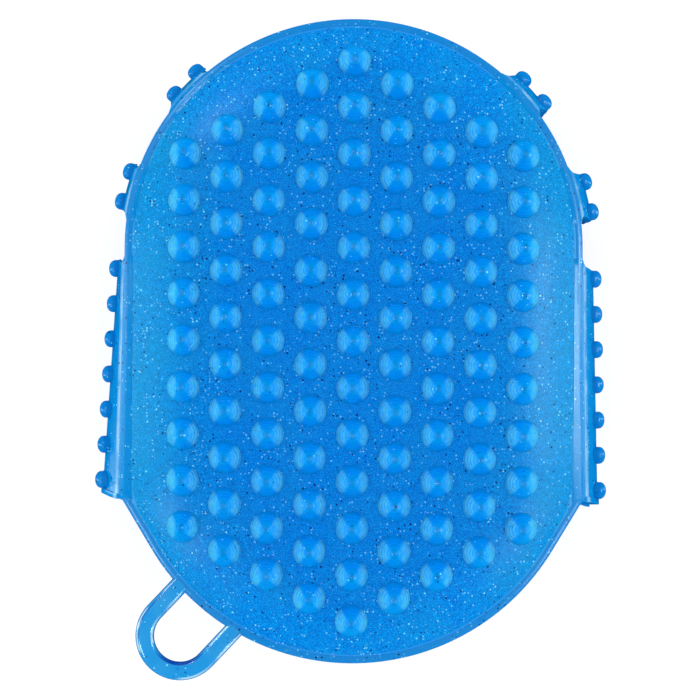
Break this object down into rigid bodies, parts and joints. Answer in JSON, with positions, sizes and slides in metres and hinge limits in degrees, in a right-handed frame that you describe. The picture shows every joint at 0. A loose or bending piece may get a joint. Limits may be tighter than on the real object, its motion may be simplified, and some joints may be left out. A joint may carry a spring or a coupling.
{
  "type": "pet grooming glove",
  "caption": "Soft jelly grooming mitt: a nubbed oval palm pad, a domed nubbed cover that holds the hand, and a small hanging loop.",
  "frame": {"origin": "on the surface that the glove lies on, below the middle of the palm pad, at the tip of the cover's middle nub", "axes": "+X to the right with the fingertips pointing away, +Y towards the fingertips, +Z the way the palm nubs point"},
  "size_m": [0.1406, 0.1806, 0.041],
  "materials": {
    "glitter_jelly": "satin, fine moulded grain, silver and dark glitter in translucent blue",
    "clear_nub_jelly": "smooth and glossy, fine turned rings, translucent blue",
    "cover_jelly": "satin, translucent blue with glitter",
    "small_nub_jelly": "smooth and glossy, translucent blue",
    "loop_jelly": "smooth, clear at the edges, translucent blue"
  },
  "bodies": {
    "cover": {"cover_crown": "cover_jelly", "cover_leg_front_left": "cover_jelly", "cover_leg_front_right": "cover_jelly", "cover_leg_middle_left": "cover_jelly", "cover_leg_middle_right": "cover_jelly", "cover_wall_left": "cover_jelly", "cover_wall_right": "cover_jelly", "crown_nubs_1": "small_nub_jelly", "crown_nubs_10": "small_nub_jelly", "crown_nubs_11": "small_nub_jelly", "crown_nubs_2": "small_nub_jelly", "crown_nubs_3": "small_nub_jelly", "crown_nubs_4": "small_nub_jelly", "crown_nubs_5": "small_nub_jelly", "crown_nubs_6": "small_nub_jelly", "crown_nubs_7": "small_nub_jelly", "crown_nubs_8": "small_nub_jelly", "crown_nubs_9": "small_nub_jelly", "cuff_lip_crown": "cover_jelly", "cuff_lip_left": "cover_jelly", "cuff_lip_right": "cover_jelly", "leg_nubs_front_left": "small_nub_jelly", "leg_nubs_front_right": "small_nub_jelly", "leg_nubs_middle_left": "small_nub_jelly", "leg_nubs_middle_right": "small_nub_jelly", "wall_nubs_left": "small_nub_jelly", "wall_nubs_right": "small_nub_jelly"},
    "pad": {"loop_neck_left": "loop_jelly", "loop_neck_right": "loop_jelly", "pad_rim": "glitter_jelly", "palm_nubs_1": "clear_nub_jelly", "palm_nubs_2": "clear_nub_jelly", "palm_nubs_3": "clear_nub_jelly", "palm_nubs_4": "clear_nub_jelly", "palm_nubs_5": "clear_nub_jelly", "palm_nubs_6": "clear_nub_jelly", "palm_nubs_7": "clear_nub_jelly", "palm_nubs_8": "clear_nub_jelly", "palm_nubs_9": "clear_nub_jelly", "palm_pad": "glitter_jelly"},
    "loop": {"hang_loop": "loop_jelly"}
  },
  "joints": [
    {"name": "cover_flex", "type": "hinge", "parent": "cover", "child": "pad", "pos_m": [0, 0.074, 0.0245], "axis": [-1, 0, 0], "range_deg": [0, 6], "stiffness_Nm_per_rad": 5},
    {"name": "loop_flex", "type": "hinge", "parent": "pad", "child": "loop", "pos_m": [-0.04167, -0.07535, 0.0272], "axis": [0.729, -0.6845, 0], "range_deg": [-75, 75], "stiffness_Nm_per_rad": 0.015, "deforming": ["loop_neck_left", "loop_neck_right"]}
  ]
}
